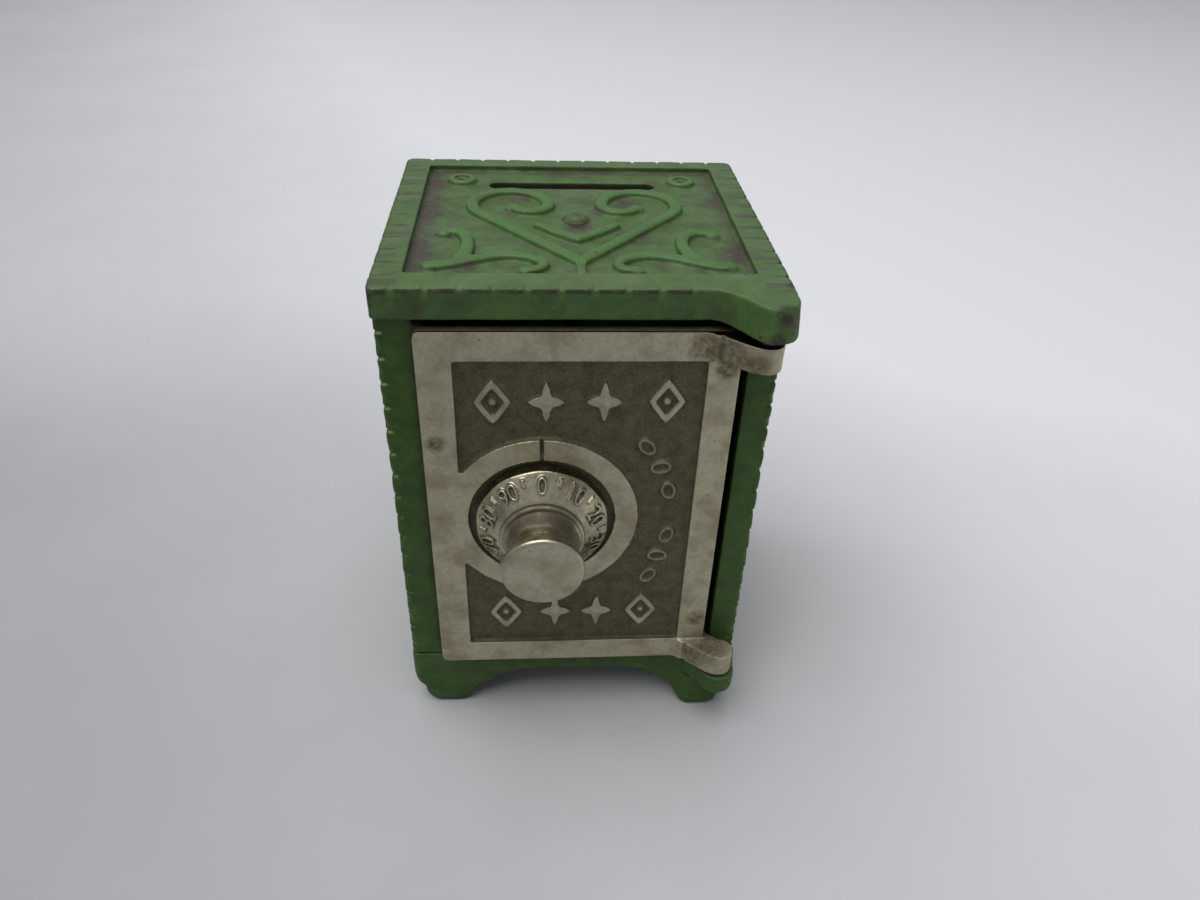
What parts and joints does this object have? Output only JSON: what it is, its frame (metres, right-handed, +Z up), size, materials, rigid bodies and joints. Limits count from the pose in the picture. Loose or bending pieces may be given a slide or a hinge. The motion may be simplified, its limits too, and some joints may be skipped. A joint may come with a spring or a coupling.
{
  "type": "safe coin bank",
  "caption": "Cast-iron coin bank in the form of a small safe, with a slotted lid, scroll relief, a hinged door and a turning dial that works a lock.",
  "frame": {"origin": "middle of the whole object in plan, on the plane that the four feet stand on", "axes": "+Z up through the lid, +X to the hinge side, -Y out of the door"},
  "size_m": [0.0698, 0.0794, 0.1016],
  "materials": {
    "green_paint": "worn green enamel over cast iron",
    "nickel_plate": "dulled nickel plate over cast iron",
    "bright_nickel": "bright nickel plate over cast iron",
    "bare_iron": "bare and dark",
    "plain_steel": "bare, dulled"
  },
  "bodies": {
    "case": {"lid": "green_paint", "base": "green_paint", "left_side": "green_paint", "right_side": "green_paint", "back_panel": "green_paint", "centre_tie_rod": "plain_steel", "left_tie_rod": "plain_steel", "right_tie_rod": "plain_steel", "tie_rod_washer": "plain_steel", "tie_rod_nut": "plain_steel"},
    "door": {"door": "nickel_plate", "upper_hinge_pin": "plain_steel", "lower_hinge_pin": "plain_steel"},
    "dial": {"dial": "bright_nickel", "knob": "nickel_plate", "dial_spindle": "plain_steel", "spring_washer": "plain_steel", "lock_wheel": "bare_iron", "spindle_washer": "plain_steel", "spindle_nut": "plain_steel"}
  },
  "joints": [
    {"name": "door_hinge", "type": "hinge", "parent": "case", "child": "door", "pos_m": [0.0302, -0.02785, 0.055], "axis": [0, 0, 1], "range_deg": [0, 180]},
    {"name": "dial_turn", "type": "hinge", "parent": "door", "child": "dial", "pos_m": [-0.0069, -0.02705, 0.0544], "axis": [0, 1, 0], "continuous": true}
  ]
}
